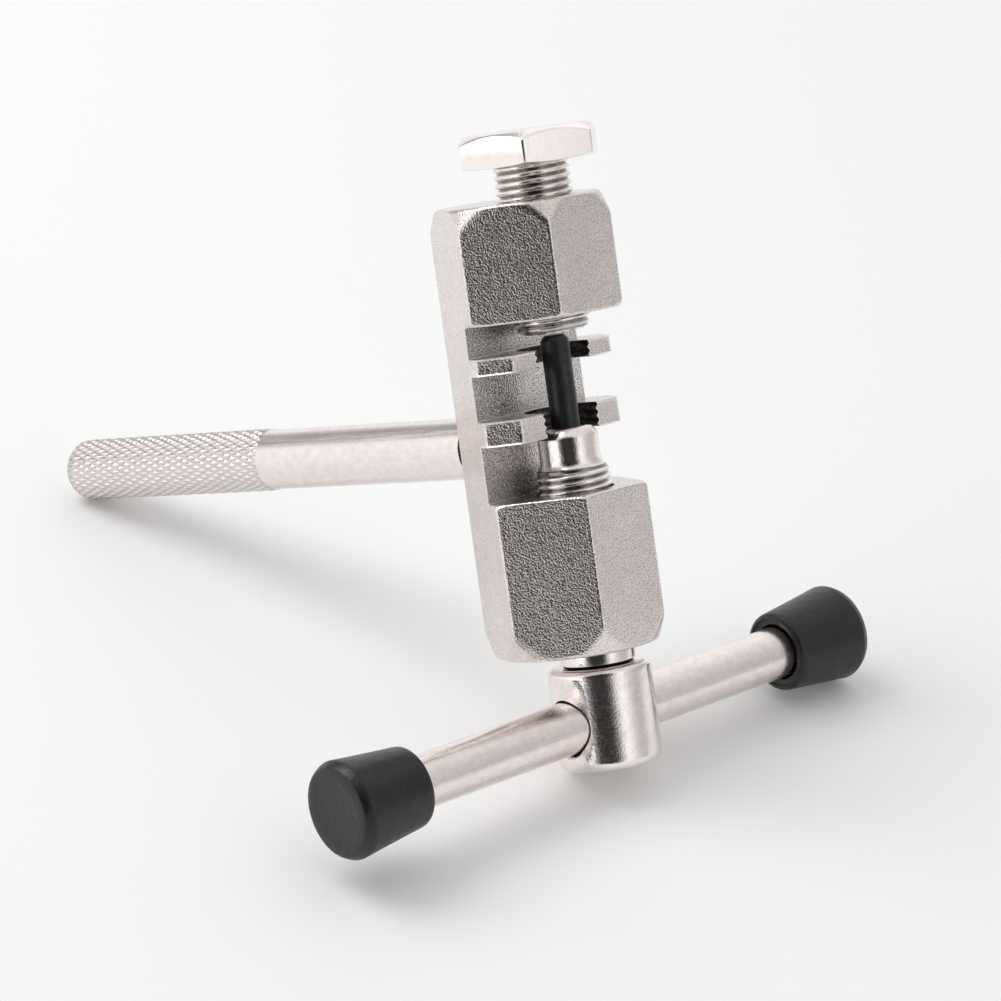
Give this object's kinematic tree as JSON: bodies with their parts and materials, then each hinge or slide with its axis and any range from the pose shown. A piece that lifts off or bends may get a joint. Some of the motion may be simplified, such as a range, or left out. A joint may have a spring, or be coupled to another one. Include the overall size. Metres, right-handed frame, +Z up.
{
  "type": "bicycle chain tool",
  "caption": "Hand tool that pushes pins out of a bicycle chain: hexagonal steel body with a toothed chain window, a tee-bar driving screw, a backing screw and a knurled side handle.",
  "frame": {"origin": "the middle of the tool's footprint on the table, at table height", "axes": "+Z up from the table; the side handle runs towards -X and down to the table; the tee bar lies nearly along Y; the screw axis leans 23.6 degrees back over the handle and 11.6 degrees sideways"},
  "size_m": [0.1146, 0.0872, 0.0804],
  "materials": {
    "plated_body": "zinc plated, satin, with one coarse blasted face",
    "nickel_screw": "bright nickel plated",
    "black_oxide": "black oxide, semi-matte",
    "zinc_bolt": "bright zinc plated",
    "satin_bar": "satin, drawn lengthwise",
    "black_rubber": "matte black rubber",
    "satin_handle": "satin, knurled at the outer end"
  },
  "bodies": {
    "frame": {"body": "plated_body", "side_handle": "satin_handle"},
    "pin": {"drive_pin": "black_oxide"},
    "screw": {"driving_screw": "nickel_screw"},
    "handlebar": {"tee_bar": "satin_bar", "bar_cap_left": "black_rubber", "bar_cap_right": "black_rubber"},
    "backing": {"adjusting_screw": "zinc_bolt"}
  },
  "joints": [
    {"name": "screw_feed", "type": "slide", "parent": "frame", "child": "pin", "axis": [-0.3922, 0.2011, 0.8976], "range_m": [-0.018, 0.0002]},
    {"name": "screw_turn", "type": "hinge", "parent": "pin", "child": "screw", "pos_m": [0.0394, 0.00301, 0.01639], "axis": [-0.3922, 0.2011, 0.8976], "range_deg": [-6480, 72]},
    {"name": "bar_slide", "type": "slide", "parent": "screw", "child": "handlebar", "axis": [0.1952, 0.9796, -0.0487], "range_m": [-0.0226, 0.0252]},
    {"name": "backing_travel", "type": "slide", "parent": "frame", "child": "backing", "axis": [-0.3922, 0.2011, 0.8976], "range_m": [-0.0002, 0.012]}
  ],
  "couplings": [
    {"joint": "screw_feed", "follows": "screw_turn", "m_per_rad": 0.00015915}
  ]
}
